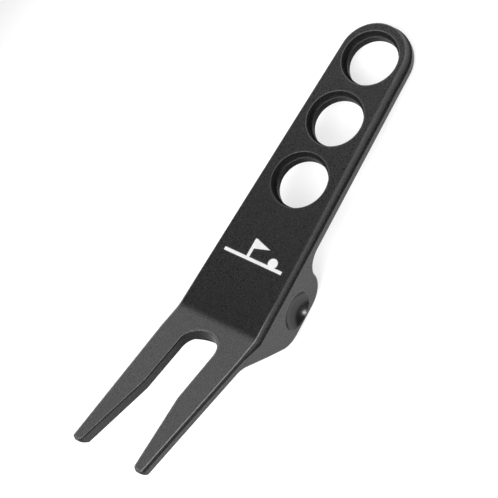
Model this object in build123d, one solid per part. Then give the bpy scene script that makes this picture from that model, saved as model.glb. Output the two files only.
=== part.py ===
from build123d import *
import math
import os

# Golf divot repair tool: a flat drilled handle, a two-tine fork bent up from it,
# and a thick rocking boss under the bend with a dished pin through it.
# Working frame: x = 0 at the bend, +X to the handle tip, z = 0 on the handle's top face.

# handle plate
HANDLE_THICK = 3.2
HALF_WIDTH_AT_BEND = 8.05
HANDLE_TAPER = 0.0355         # half width lost per mm towards the tip
TIP_CENTRE_X = 49.9
SHOULDER_R = 40.0             # plan radius where the handle's sides turn into the fork's
UNDER_BREAK = 0.4

# cove cut round the top edges: how far in it leaves the top face, how far down it meets the wall
COVE_R = 1.0
COVE_AT_TIP = (0.5, 1.75)
COVE_AT_BEND = (0.42, 1.35)
COVE_ON_FORK = (0.25, 0.55)
COVE_AT_HOLES = (0.5, 1.35)
COVE_FADE = 4.5               # length past the bend over which the handle's cove shrinks to the fork's

# grip holes
HOLE_X = (26.4, 37.9, 49.4)
HOLE_R = 4.36

# fork
BEND_DEG = 19.0
BEND_R = 4.5
FORK_THICK = 2.0
FORK_LENGTH = 28.4
FORK_TAPER = 0.038
FORK_EDGE_BREAK = 0.2
TINE_TIP_R = 0.75
TINE_NOSE = 1.2               # slope under the tine tips
SLOT_HALF = 3.25
SLOT_END_X = 5.45             # centre of the slot's round end, from the bend
FLARE_X = 14.6
FLARE_HALF_AT_TIP = 5.15
SLOT_RELIEF = 0.9             # widening of the notch under the slot's round end

# rocking boss
BOSS_BOTTOM = -10.7
BOSS_FRONT_X = 14.8
BOSS_FRONT_R = 4.0
BOSS_FRONT_FILLET = 3.3
BOSS_BACK_R = 4.4
BOSS_BACK_FILLET = 5.0
BOSS_BACK_DEG = 51.0
BOSS_BACK_FOOT_X = 3.4        # where the back slope would meet the bottom plane

# dished pin
PIN_X = 8.4
PIN_Z = -6.75
PIN_R = 3.4
PIN_GAP = 0.02
PIN_LAND = 0.12               # flat ring left round each dish
DISH_DEPTH = 1.7

# enamel emblem: a flagstick with a pennant, and a ball, on a ground line
MARK_X = 13.0
MARK_DEPTH = 0.2
MARK_HALF_LENGTH = 5.6
MARK_LINE = 0.55
STICK_HEIGHT = 3.2
STICK_PLACE = -1.2
PENNANT_LENGTH = 3.0
PENNANT_DROP = 1.7
BALL_PLACE = 3.4
BALL_R = 0.85

OVER = 20.0                   # reach of a cutter past the metal
ANGLE_MATCH = 0.01            # how closely an edge has to follow a direction or a plane to be picked
LENGTH_MATCH = 0.3            # how closely an edge has to have a length to be picked

BEND = math.radians(BEND_DEG)


def handle_half_width(x):
    """Half width of the handle, whose straight sides close in towards the tip."""
    return HALF_WIDTH_AT_BEND - HANDLE_TAPER * x


def fork_half_width(x):
    """Half width of the fork, whose straight sides close in towards the tines."""
    return HALF_WIDTH_AT_BEND + FORK_TAPER * x


def fork_point(along, up):
    """Point in the side view, measured along the fork and up from its top face."""
    x = -along * math.cos(BEND) + up * math.sin(BEND)
    z = along * math.sin(BEND) + up * math.cos(BEND)
    return (x, z)


def side_profile():
    """Side view of the whole tool: plate, bent fork and boss."""
    slope = math.tan(math.radians(BOSS_BACK_DEG))
    fork_under = -FORK_THICK / math.cos(BEND)
    rise = fork_under - BOSS_BOTTOM - BOSS_BACK_FOOT_X * math.tan(BEND)
    run = rise / (slope - math.tan(BEND))
    back_top = (BOSS_BACK_FOOT_X - run, BOSS_BOTTOM + run * slope)
    corners = [
        (TIP_CENTRE_X + OVER, 0),
        (0, 0),
        fork_point(FORK_LENGTH, 0),
        fork_point(FORK_LENGTH, -FORK_THICK + TINE_NOSE),
        fork_point(FORK_LENGTH - TINE_NOSE, -FORK_THICK),
        back_top,
        (BOSS_BACK_FOOT_X, BOSS_BOTTOM),
        (BOSS_FRONT_X, BOSS_BOTTOM),
        (BOSS_FRONT_X, -HANDLE_THICK),
        (TIP_CENTRE_X + OVER, -HANDLE_THICK),
    ]
    outline = Face(Wire.make_polygon([Vector(x, z) for x, z in corners], close=True))
    radii = {
        1: BEND_R,
        5: BOSS_BACK_FILLET,
        6: BOSS_BACK_R,
        7: BOSS_FRONT_R,
        8: BOSS_FRONT_FILLET,
    }
    for index, radius in radii.items():
        x, z = corners[index]
        corner = outline.vertices().sort_by_distance((x, z, 0))[0]
        outline = outline.fillet_2d(radius, [corner])
    return outline


def side_slab():
    """The side profile carried across the tool's width."""
    slab = extrude(side_profile(), 2 * HALF_WIDTH_AT_BEND, both=True)
    return Rot(90, 0, 0) * slab


def plan_outline(back_points):
    """Plan of the tool from its round tip back to the given points on the +Y side."""
    tip_r = handle_half_width(TIP_CENTRE_X)
    front = [(TIP_CENTRE_X, tip_r)] + back_points
    mirrored = [(x, -y) for x, y in reversed(front)]
    with BuildSketch() as plan:
        with BuildLine():
            Polyline(*front, *mirrored)
            RadiusArc((TIP_CENTRE_X, -tip_r), (TIP_CENTRE_X, tip_r), -tip_r)
        make_face()
    return plan.sketch


def whole_outline():
    """Plan of the whole tool, run on past the tine tips."""
    far = -(FORK_LENGTH + OVER)
    outline = plan_outline([(0, HALF_WIDTH_AT_BEND), (far, fork_half_width(far))])
    for side in (-1, 1):
        shoulder = outline.vertices().sort_by_distance((0, side * HALF_WIDTH_AT_BEND, 0))[0]
        outline = fillet(shoulder, SHOULDER_R)
    return outline


def slot_cutter():
    """Round-ended slot that flares open towards the tine tips."""
    far = FORK_LENGTH + OVER / 4
    flare_rate = (FLARE_HALF_AT_TIP - SLOT_HALF) / (FORK_LENGTH - FLARE_X)
    far_half = SLOT_HALF + flare_rate * (far - FLARE_X)
    with BuildSketch() as plan:
        with Locations((-SLOT_END_X, 0)):
            Circle(SLOT_HALF)
        with BuildLine():
            Polyline(
                (-SLOT_END_X, SLOT_HALF),
                (-FLARE_X, SLOT_HALF),
                (-far, far_half),
                (-far, -far_half),
                (-FLARE_X, -SLOT_HALF),
                (-SLOT_END_X, -SLOT_HALF),
                close=True,
            )
        make_face()
    return Rot(0, BEND_DEG, 0) * extrude(plan.sketch, OVER, both=True)


def slot_relief():
    """Notch in the boss under the slot's end, level with the fork's underside."""
    radius = SLOT_HALF + SLOT_RELIEF
    round_end = Pos(-SLOT_END_X, 0, -FORK_THICK - OVER / 2) * Cylinder(radius, OVER)
    run_out = Pos(-SLOT_END_X - radius, 0, -FORK_THICK - OVER / 2) * Box(2 * radius, 2 * radius, OVER)
    return Rot(0, BEND_DEG, 0) * (round_end + run_out)


def cove_centre(inset, depth):
    """Centre of the cove's round, as outward from the wall and up from the top face."""
    drop = math.sqrt(COVE_R ** 2 - (COVE_R - inset) ** 2)
    if depth > drop:
        return (COVE_R - inset, drop - depth)
    chord = math.hypot(inset, depth)
    reach = math.sqrt(COVE_R ** 2 - chord ** 2 / 4)
    return (depth / chord * reach - inset / 2, inset / chord * reach - depth / 2)


def cove_section():
    """Section of the cove cutter, its round centred on the origin, outward along +X and up along +Y."""
    headroom = OVER / 2
    return Circle(COVE_R) + Pos(headroom - COVE_R, headroom / 2) * Rectangle(2 * headroom, headroom)


def side_cove_cutter(side):
    """Cove cutter along one side of the tool, from the round tip over the bend to the tine tips."""
    tip_out, tip_up = cove_centre(*COVE_AT_TIP)
    bend_out, bend_up = cove_centre(*COVE_AT_BEND)
    fork_out, fork_up = cove_centre(*COVE_ON_FORK)
    path = [
        Vector(TIP_CENTRE_X, handle_half_width(TIP_CENTRE_X) + tip_out, tip_up),
        Vector(0, HALF_WIDTH_AT_BEND + bend_out, bend_up),
    ]
    for along in (COVE_FADE, FORK_LENGTH + OVER / 4):
        x, z = fork_point(along, fork_up)
        path.append(Vector(x, fork_half_width(x) + fork_out, z))
    cutter = Part()
    for start, end in zip(path, path[1:]):
        across = Plane(origin=start, x_dir=(0, 1, 0), z_dir=(1, 0, 0))
        run = end - start
        cutter += extrude(across * cove_section(), run.length, dir=run)
    if side < 0:
        cutter = mirror(cutter, Plane.XZ)
    return cutter


def tip_cove_cutter():
    """Cove cutter round the handle's tip."""
    out, up = cove_centre(*COVE_AT_TIP)
    section = Rot(90, 0, 0) * (Pos(handle_half_width(TIP_CENTRE_X) + out, up) * cove_section())
    ring = revolve(Rot(0, 0, -90) * section, Axis.Z, 180)
    return Pos(TIP_CENTRE_X, 0, 0) * ring


def hole_cutter(x):
    """Grip hole with a cove round its top and an edge break below."""
    wall = Pos(0, 0, -HANDLE_THICK / 2) * Cylinder(HOLE_R, 2 * HANDLE_THICK)
    out, up = cove_centre(*COVE_AT_HOLES)
    mouth_r = HOLE_R + COVE_AT_HOLES[0]
    round_part = Pos(0, 0, up) * Torus(HOLE_R - out, COVE_R)
    mouth = Pos(0, 0, up + COVE_R) * Cylinder(mouth_r, 2 * COVE_R)
    exit_z = -HANDLE_THICK + UNDER_BREAK / 2
    under = Pos(0, 0, exit_z) * Cone(HOLE_R + UNDER_BREAK, HOLE_R, UNDER_BREAK)
    return Pos(x, 0, 0) * (wall + round_part + mouth + under)


def pin_place(x, z):
    """Axis of the cross pin, square across the tool."""
    return Pos(x, 0, z) * Rot(90, 0, 0)


def emblem():
    """Plan of the emblem, set across the handle."""
    base = -STICK_HEIGHT / 2
    top = STICK_HEIGHT / 2 + MARK_LINE / 2
    with BuildSketch() as plan:
        with Locations((0, base)):
            Rectangle(2 * MARK_HALF_LENGTH, MARK_LINE)
        with Locations((STICK_PLACE, 0)):
            Rectangle(MARK_LINE, STICK_HEIGHT + MARK_LINE)
        with BuildLine():
            Polyline(
                (STICK_PLACE, top),
                (STICK_PLACE + PENNANT_LENGTH, top - PENNANT_DROP / 2),
                (STICK_PLACE, top - PENNANT_DROP),
                close=True,
            )
        make_face()
        with Locations((BALL_PLACE, base + BALL_R)):
            Circle(BALL_R)
    return Pos(MARK_X, 0, 0) * Rot(0, 0, -90) * plan.sketch


def break_under_edges(body):
    """Round the side and tip edges that border the underside."""
    tine_ends = -FORK_LENGTH * math.cos(BEND) + FORK_EDGE_BREAK
    edges = []
    for edge in body.edges():
        middle = edge @ 0.5
        on_rim = abs(edge.center().Y) > HALF_WIDTH_AT_BEND / 2 or edge.center().X > TIP_CENTRE_X
        top_z = max(0, -middle.X * math.tan(BEND))
        below = middle.Z < top_z - FORK_THICK / 2
        if on_rim and below and edge.center().X > tine_ends:
            edges.append(edge)
    return fillet(edges, UNDER_BREAK)


def round_tine_tips(body):
    """Round the four upright corners at the tine tips."""
    upright = Vector(math.sin(BEND), 0, math.cos(BEND))
    end_x, _ = fork_point(FORK_LENGTH, -FORK_THICK / 2)
    end_height = FORK_THICK - TINE_NOSE
    corners = []
    for edge in body.edges():
        direction = (edge @ 1 - edge @ 0).normalized()
        is_upright = abs(abs(direction.dot(upright)) - 1) < ANGLE_MATCH
        is_end = abs(edge.center().X - end_x) < FORK_THICK / 4
        is_long_enough = abs(edge.length - end_height) < LENGTH_MATCH
        if is_upright and is_end and is_long_enough:
            corners.append(edge)
    return fillet(corners, TINE_TIP_R)


def break_fork_edges(body):
    """Round the edges of the fork's top face, the slot and the tine tips."""
    upright = Vector(math.sin(BEND), 0, math.cos(BEND))
    bend_start = -BEND_R * math.tan(BEND / 2)
    edges = []
    for edge in body.edges():
        heights = [abs((edge @ t).dot(upright)) for t in (0, 0.5, 1)]
        if max(heights) < ANGLE_MATCH and edge.center().X < 2 * bend_start:
            edges.append(edge)
    return fillet(edges, FORK_EDGE_BREAK)


def tool_body():
    """The single milled plate with its boss, fork, holes and pockets."""
    body = side_slab() & extrude(whole_outline(), 2 * OVER, both=True)
    body = break_under_edges(body)
    body = body - slot_cutter()
    body = body - slot_relief()
    body = round_tine_tips(body)
    body = break_fork_edges(body)
    body = body - tip_cove_cutter()
    for side in (-1, 1):
        body = body - side_cove_cutter(side)
    for x in HOLE_X:
        body = body - hole_cutter(x)
    body = body - pin_place(PIN_X, PIN_Z) * Cylinder(PIN_R + PIN_GAP, 4 * HALF_WIDTH_AT_BEND)
    body = body - Pos(0, 0, -MARK_DEPTH) * extrude(emblem(), HANDLE_THICK)
    return body


def boss_pin():
    """Cross pin with a dished face at each side of the boss."""
    pin = pin_place(PIN_X, PIN_Z) * Cylinder(PIN_R, 4 * HALF_WIDTH_AT_BEND)
    pin = pin & extrude(whole_outline(), 2 * OVER, both=True)
    rim_r = PIN_R - PIN_LAND
    dish_r = (rim_r ** 2 + DISH_DEPTH ** 2) / (2 * DISH_DEPTH)
    for side in (-1, 1):
        centre_y = side * (handle_half_width(PIN_X) + dish_r - DISH_DEPTH)
        pin = pin - Pos(PIN_X, centre_y, PIN_Z) * Sphere(dish_r)
    return pin


def face_mark():
    """Enamel filling the emblem pocket."""
    return Pos(0, 0, -MARK_DEPTH) * extrude(emblem(), MARK_DEPTH)


def rest_tilt():
    """Angle that brings the boss's front round and the rounded tip rim to the floor."""
    reach = TIP_CENTRE_X + handle_half_width(TIP_CENTRE_X) - UNDER_BREAK - (BOSS_FRONT_X - BOSS_FRONT_R)
    drop = (-HANDLE_THICK + UNDER_BREAK) - (BOSS_BOTTOM + BOSS_FRONT_R)
    lean = math.atan2(drop, reach)
    spread = math.asin((BOSS_FRONT_R - UNDER_BREAK) / math.hypot(reach, drop))
    return math.degrees(lean + spread)


def main():
    nodes = {
        "tool_body": tool_body(),
        "boss_pin": boss_pin(),
        "face_mark": face_mark(),
    }
    tilt = Rot(0, rest_tilt(), 0)
    tilted = {name: tilt * shape for name, shape in nodes.items()}
    box = tilted["tool_body"].bounding_box()
    centre_x = (box.min.X + box.max.X) / 2
    stand = Pos(-centre_x, 0, -box.min.Z)
    os.makedirs("parts", exist_ok=True)
    for name, shape in tilted.items():
        export_step(stand * shape, f"parts/{name}.step")
    print("tilt", rest_tilt(), "shift", centre_x, box.min.Z)


main()
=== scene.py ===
import math

import bpy
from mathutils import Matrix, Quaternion, Vector


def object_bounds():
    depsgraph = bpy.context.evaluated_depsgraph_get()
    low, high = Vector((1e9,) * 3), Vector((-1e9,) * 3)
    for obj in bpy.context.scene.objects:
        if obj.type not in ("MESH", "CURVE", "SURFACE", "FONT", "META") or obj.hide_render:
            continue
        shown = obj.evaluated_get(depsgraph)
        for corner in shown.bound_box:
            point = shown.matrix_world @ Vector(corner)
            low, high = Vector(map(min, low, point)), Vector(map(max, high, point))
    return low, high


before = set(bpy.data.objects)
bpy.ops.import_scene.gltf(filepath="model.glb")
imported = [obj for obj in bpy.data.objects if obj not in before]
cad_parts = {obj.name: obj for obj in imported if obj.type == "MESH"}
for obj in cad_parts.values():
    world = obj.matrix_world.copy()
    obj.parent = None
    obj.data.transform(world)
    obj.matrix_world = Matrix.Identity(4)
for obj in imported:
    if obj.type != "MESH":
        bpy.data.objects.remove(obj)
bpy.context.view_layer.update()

# ---------------------------------------------------------------- sizes, in metres
EDGE_ROUND = 0.00014          # softened edges of the milled body
WEAR_AND_HIGHLIGHT_REACH = 3 * EDGE_ROUND   # how far a rubbed line, partly wear and partly painted highlight, runs in from its edge
GRAIN = 0.0002                # bead-blast grain
BLAST_DEPTH = 0.00003
POLISH_DEPTH = 0.00002
ENAMEL_DEPTH = 0.00003
RECESS_REACH = 0.016          # how far across a recess its walls shade each other
FLOOR_Z = -0.00005
FLOOR_SIZE = 6.0
GLOW_INNER = 0.045            # the floor's glow is full inside this radius
GLOW_OUTER = 0.1              # and gone outside this one

# ---------------------------------------------------------------- noise scales, per metre
WEAR_AND_HIGHLIGHT_CLOUD = 140.0
POLISH_CLOUD = 500.0
POLISH_FINE = 4000.0
ENAMEL_CLOUD = 900.0
ENAMEL_FINE = 3000.0
FLOOR_CLOUD = 3.0

# ---------------------------------------------------------------- colours and finishes
BLACK_ANODISE = (0.010, 0.010, 0.0104)
# edge colour: partly rubbed metal, partly a painted highlight along the upper edges
RUBBED_METAL_AND_HIGHLIGHT = (0.42, 0.42, 0.425)
PALE_ENAMEL = (0.6, 0.6, 0.6)
FLOOR_LOW = (0.35, 0.35, 0.35)
FLOOR_HIGH = (0.38, 0.38, 0.38)
ANODISE_IOR = 1.4
BLAST_ROUGHNESS = 0.3
BLAST_ROUGHNESS_SWING = 0.14
POLISH_ROUGHNESS = 0.24
ENAMEL_ROUGHNESS = 0.4
FLOOR_ROUGHNESS = 0.7
GLOW = 0.72                   # light given off by the floor under the object
WORLD_LIGHT = 0.1

# wear and painted highlight on the upper edges, as (place from the tine tips to the handle tip, amount)
WEAR_AND_HIGHLIGHT_ALONG = [(0.0, 1.0), (0.3, 1.0), (0.4, 0.15), (0.55, 0.12), (0.7, 0.2), (1.0, 0.28)]

# ---------------------------------------------------------------- camera
CAMERA_TARGET = Vector((-0.00229, 0.00068, 0.012))
CAMERA_DISTANCE = 0.3708
CAMERA_AZIMUTH = -92.72       # direction to the camera round +Z, from +X
CAMERA_ELEVATION = 60.66
CAMERA_ROLL = -62.28
CAMERA_SENSOR = 36.0          # mm
CAMERA_LENS = 170.7           # mm
CAMERA_CLIP = 0.01


# ---------------------------------------------------------------- node helpers
def new_material(name):
    """A node material with its tree and its shader."""
    material = bpy.data.materials.new(name)
    material.use_nodes = True
    tree = material.node_tree
    tree.nodes.clear()
    output = tree.nodes.new("ShaderNodeOutputMaterial")
    shader = tree.nodes.new("ShaderNodeBsdfPrincipled")
    tree.links.new(shader.outputs["BSDF"], output.inputs["Surface"])
    return material, tree, shader


def noise(tree, scale, detail=3.0, roughness=0.55):
    """Noise from 0 to 1, fixed to the piece."""
    coords = tree.nodes.new("ShaderNodeTexCoord")
    node = tree.nodes.new("ShaderNodeTexNoise")
    node.inputs["Scale"].default_value = scale
    node.inputs["Detail"].default_value = detail
    node.inputs["Roughness"].default_value = roughness
    tree.links.new(coords.outputs["Object"], node.inputs["Vector"])
    return node.outputs["Fac"]


def ramp(tree, value, stops):
    """Colour read along a list of (place, colour) stops."""
    node = tree.nodes.new("ShaderNodeValToRGB")
    node.color_ramp.elements[0].position = stops[0][0]
    node.color_ramp.elements[0].color = (*stops[0][1], 1.0)
    node.color_ramp.elements[1].position = stops[-1][0]
    node.color_ramp.elements[1].color = (*stops[-1][1], 1.0)
    for place, colour in stops[1:-1]:
        node.color_ramp.elements.new(place).color = (*colour, 1.0)
    tree.links.new(value, node.inputs["Fac"])
    return node.outputs["Color"]


def spread(tree, value, low, high):
    """A value from 0 to 1, stretched to run from low to high."""
    node = tree.nodes.new("ShaderNodeMapRange")
    node.inputs["To Min"].default_value = low
    node.inputs["To Max"].default_value = high
    tree.links.new(value, node.inputs["Value"])
    return node.outputs["Result"]


def reached(tree, value, start, end):
    """0 while the value is short of start, 1 once it is past end."""
    node = tree.nodes.new("ShaderNodeMapRange")
    node.inputs["From Min"].default_value = start
    node.inputs["From Max"].default_value = end
    tree.links.new(value, node.inputs["Value"])
    return node.outputs["Result"]


def multiply(tree, first, second):
    """Product of two values."""
    node = tree.nodes.new("ShaderNodeMath")
    node.operation = "MULTIPLY"
    tree.links.new(first, node.inputs[0])
    tree.links.new(second, node.inputs[1])
    return node.outputs["Value"]


def scaled(colour, factor):
    """The colour, that many times as bright."""
    return [channel * factor for channel in colour]


def rounded_normal(tree, radius, samples):
    """Surface normal, turned smoothly over the edges within the radius."""
    node = tree.nodes.new("ShaderNodeBevel")
    node.samples = samples
    node.inputs["Radius"].default_value = radius
    return node.outputs["Normal"]


def relief(tree, shader, height, strength, depth):
    """Fine relief on the shader's surface, as a bump node that can take a normal."""
    node = tree.nodes.new("ShaderNodeBump")
    node.inputs["Strength"].default_value = strength
    node.inputs["Distance"].default_value = depth
    tree.links.new(height, node.inputs["Height"])
    tree.links.new(node.outputs["Normal"], shader.inputs["Normal"])
    return node


# ---------------------------------------------------------------- where the body is rubbed and given a painted highlight, and where it gets painted shade
def faces_up(tree, start, end):
    """0 to 1 as the surface normal's rise goes from start to end."""
    geometry = tree.nodes.new("ShaderNodeNewGeometry")
    split = tree.nodes.new("ShaderNodeSeparateXYZ")
    tree.links.new(geometry.outputs["Normal"], split.inputs["Vector"])
    return reached(tree, split.outputs["Z"], start, end)


def edge_mask(tree, radius):
    """1 on the upper faces beside an edge, 0 elsewhere: where the rounded normal leans from the flat one."""
    geometry = tree.nodes.new("ShaderNodeNewGeometry")
    agree = tree.nodes.new("ShaderNodeVectorMath")
    agree.operation = "DOT_PRODUCT"
    tree.links.new(rounded_normal(tree, radius, samples=6), agree.inputs[0])
    tree.links.new(geometry.outputs["Normal"], agree.inputs[1])
    leaning = reached(tree, agree.outputs["Value"], start=0.995, end=0.9)
    return multiply(tree, leaning, faces_up(tree, start=0.75, end=0.85))


def painted_shade_factor(tree, reach):
    """Painted shade on the reflection: 1 on open faces, falling in the holes, the slot and the cove, and 0
    on the underside.
    """
    shade = tree.nodes.new("ShaderNodeAmbientOcclusion")
    shade.only_local = True
    shade.samples = 16
    shade.inputs["Distance"].default_value = reach
    unshaded = reached(tree, shade.outputs["AO"], start=0.7, end=1.0)
    return multiply(tree, unshaded, faces_up(tree, start=-0.6, end=-0.1))


def wear_and_highlight_along(tree):
    """How strong the edges' wear and painted highlight are along the tool: most on the tines, least over the
    boss.
    """
    coords = tree.nodes.new("ShaderNodeTexCoord")
    split = tree.nodes.new("ShaderNodeSeparateXYZ")
    tree.links.new(coords.outputs["Object"], split.inputs["Vector"])
    low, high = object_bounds()
    along = reached(tree, split.outputs["X"], low[0], high[0])
    return ramp(tree, along, [(place, (amount,) * 3) for place, amount in WEAR_AND_HIGHLIGHT_ALONG])


# ---------------------------------------------------------------- materials
def blasted_anodise(name, base, wear_and_highlight_colour):
    """Black anodise over bead-blasted aluminium: fine speckle, lighter edges from wear and painted
    highlight, and painted shade in recesses and on the underside.
    """
    material, tree, shader = new_material(name)
    shader.inputs["IOR"].default_value = ANODISE_IOR
    fine = noise(tree, 1 / GRAIN, detail=4.0, roughness=0.65)
    cloud = noise(tree, WEAR_AND_HIGHLIGHT_CLOUD)

    speckle = ramp(tree, fine, [(0.35, scaled(base, 0.5)), (0.55, base), (0.75, scaled(base, 2.5))])
    # Lighter upper edges: partly rubbed metal, partly a painted highlight, strongest on the tines
    wear_and_highlight_amount = multiply(tree, spread(tree, cloud, 0.5, 1.0), wear_and_highlight_along(tree))
    wear_and_highlight_mix = tree.nodes.new("ShaderNodeMix")
    wear_and_highlight_mix.data_type = "RGBA"
    wear_and_highlight_mix.inputs["B"].default_value = (*wear_and_highlight_colour, 1.0)
    tree.links.new(multiply(tree, edge_mask(tree, WEAR_AND_HIGHLIGHT_REACH), wear_and_highlight_amount), wear_and_highlight_mix.inputs["Factor"])
    tree.links.new(speckle, wear_and_highlight_mix.inputs["A"])
    tree.links.new(wear_and_highlight_mix.outputs["Result"], shader.inputs["Base Color"])

    smoothest = BLAST_ROUGHNESS - BLAST_ROUGHNESS_SWING
    roughest = BLAST_ROUGHNESS + BLAST_ROUGHNESS_SWING
    tree.links.new(spread(tree, fine, smoothest, roughest), shader.inputs["Roughness"])
    # Reflection strength: random grain, times painted shade in the recesses and on the underside
    grain_and_painted_shade_reflection = multiply(tree, painted_shade_factor(tree, RECESS_REACH), spread(tree, fine, -0.1, 1.1))
    tree.links.new(grain_and_painted_shade_reflection, shader.inputs["Specular IOR Level"])

    grains = relief(tree, shader, fine, strength=0.8, depth=BLAST_DEPTH)
    tree.links.new(rounded_normal(tree, EDGE_ROUND, samples=8), grains.inputs["Normal"])
    return material


def polished_anodise(name, base):
    """Smooth black anodise, slightly uneven."""
    material, tree, shader = new_material(name)
    cloud = noise(tree, POLISH_CLOUD, detail=4.0)
    tone = ramp(tree, cloud, [(0.3, scaled(base, 0.8)), (0.7, scaled(base, 1.3))])
    tree.links.new(tone, shader.inputs["Base Color"])
    gloss = spread(tree, cloud, POLISH_ROUGHNESS - 0.04, POLISH_ROUGHNESS + 0.06)
    tree.links.new(gloss, shader.inputs["Roughness"])
    relief(tree, shader, noise(tree, POLISH_FINE), strength=0.15, depth=POLISH_DEPTH)
    return material


def enamel(name, base):
    """Pale satin enamel, slightly uneven."""
    material, tree, shader = new_material(name)
    shader.inputs["Roughness"].default_value = ENAMEL_ROUGHNESS
    cloud = noise(tree, ENAMEL_CLOUD, detail=4.0)
    tone = ramp(tree, cloud, [(0.3, scaled(base, 0.86)), (0.65, base)])
    tree.links.new(tone, shader.inputs["Base Color"])
    relief(tree, shader, noise(tree, ENAMEL_FINE), strength=0.2, depth=ENAMEL_DEPTH)
    return material


def dress(node, material):
    """Give a CAD node its one material."""
    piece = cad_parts[node]
    piece.data.materials.clear()
    piece.data.materials.append(material)


# ---------------------------------------------------------------- floor, light, camera
def pale_floor():
    """Pale floor with a soft white glow under the object, like a light table."""
    bpy.ops.mesh.primitive_plane_add(size=FLOOR_SIZE, location=(0, 0, FLOOR_Z))
    floor = bpy.context.object
    floor.name = "floor"
    material, tree, shader = new_material("pale_floor")
    shader.inputs["Roughness"].default_value = FLOOR_ROUGHNESS
    tone = ramp(tree, noise(tree, FLOOR_CLOUD), [(0.0, FLOOR_LOW), (1.0, FLOOR_HIGH)])
    tree.links.new(tone, shader.inputs["Base Color"])

    coords = tree.nodes.new("ShaderNodeTexCoord")
    radius = tree.nodes.new("ShaderNodeVectorMath")
    radius.operation = "LENGTH"
    tree.links.new(coords.outputs["Object"], radius.inputs[0])
    glow = tree.nodes.new("ShaderNodeMapRange")
    glow.interpolation_type = "SMOOTHSTEP"
    glow.inputs["From Min"].default_value = GLOW_INNER
    glow.inputs["From Max"].default_value = GLOW_OUTER
    glow.inputs["To Min"].default_value = GLOW
    glow.inputs["To Max"].default_value = 0.0
    tree.links.new(radius.outputs["Value"], glow.inputs["Value"])
    tree.links.new(glow.outputs["Result"], shader.inputs["Emission Strength"])
    shader.inputs["Emission Color"].default_value = (1, 1, 1, 1)
    floor.data.materials.append(material)


def direction(azimuth, elevation):
    """Unit vector away from the object, from degrees round +Z and above the floor."""
    a, e = math.radians(azimuth), math.radians(elevation)
    return Vector((math.cos(a) * math.cos(e), math.sin(a) * math.cos(e), math.sin(e)))


def softbox(name, azimuth, elevation, distance, width, height, power):
    """Area light at a bearing from the object, aimed at it."""
    away = direction(azimuth, elevation)
    data = bpy.data.lights.new(name, "AREA")
    data.shape = "RECTANGLE"
    data.size = width
    data.size_y = height
    data.energy = power
    lamp = bpy.data.objects.new(name, data)
    lamp.location = away * distance
    lamp.rotation_mode = "QUATERNION"
    lamp.rotation_quaternion = (-away).to_track_quat("-Z", "Y")
    bpy.context.scene.collection.objects.link(lamp)


def studio():
    """Large soft key over the fork, a side light past the tip, and a small spark for the pin's dish."""
    softbox("key_top", -172, 57, distance=1.2, width=1.1, height=1.1, power=25.0)
    softbox("tip_side", 30, 33, distance=1.1, width=0.8, height=0.65, power=5.5)
    softbox("front_spark", -97, 34, distance=1.0, width=0.2, height=0.14, power=3.4)
    world = bpy.data.worlds.new("studio")
    world.use_nodes = True
    world.node_tree.nodes["Background"].inputs["Color"].default_value = (1, 1, 1, 1)
    world.node_tree.nodes["Background"].inputs["Strength"].default_value = WORLD_LIGHT
    bpy.context.scene.world = world
    bpy.context.scene.view_settings.view_transform = "Standard"


def camera():
    """Long lens over the tool's near side, rolled so that the handle runs up to the right."""
    away = direction(CAMERA_AZIMUTH, CAMERA_ELEVATION)
    data = bpy.data.cameras.new("camera")
    data.lens = CAMERA_LENS
    data.sensor_width = CAMERA_SENSOR
    data.clip_start = CAMERA_CLIP
    eye = bpy.data.objects.new("camera", data)
    eye.location = CAMERA_TARGET + away * CAMERA_DISTANCE
    eye.rotation_mode = "QUATERNION"
    level = (-away).to_track_quat("-Z", "Y")
    eye.rotation_quaternion = level @ Quaternion((0, 0, 1), math.radians(CAMERA_ROLL))
    bpy.context.scene.collection.objects.link(eye)
    bpy.context.scene.camera = eye


dress("tool_body", blasted_anodise("body_anodise", BLACK_ANODISE, RUBBED_METAL_AND_HIGHLIGHT))
dress("boss_pin", polished_anodise("pin_anodise", BLACK_ANODISE))
dress("face_mark", enamel("mark_enamel", PALE_ENAMEL))
pale_floor()
studio()
camera()
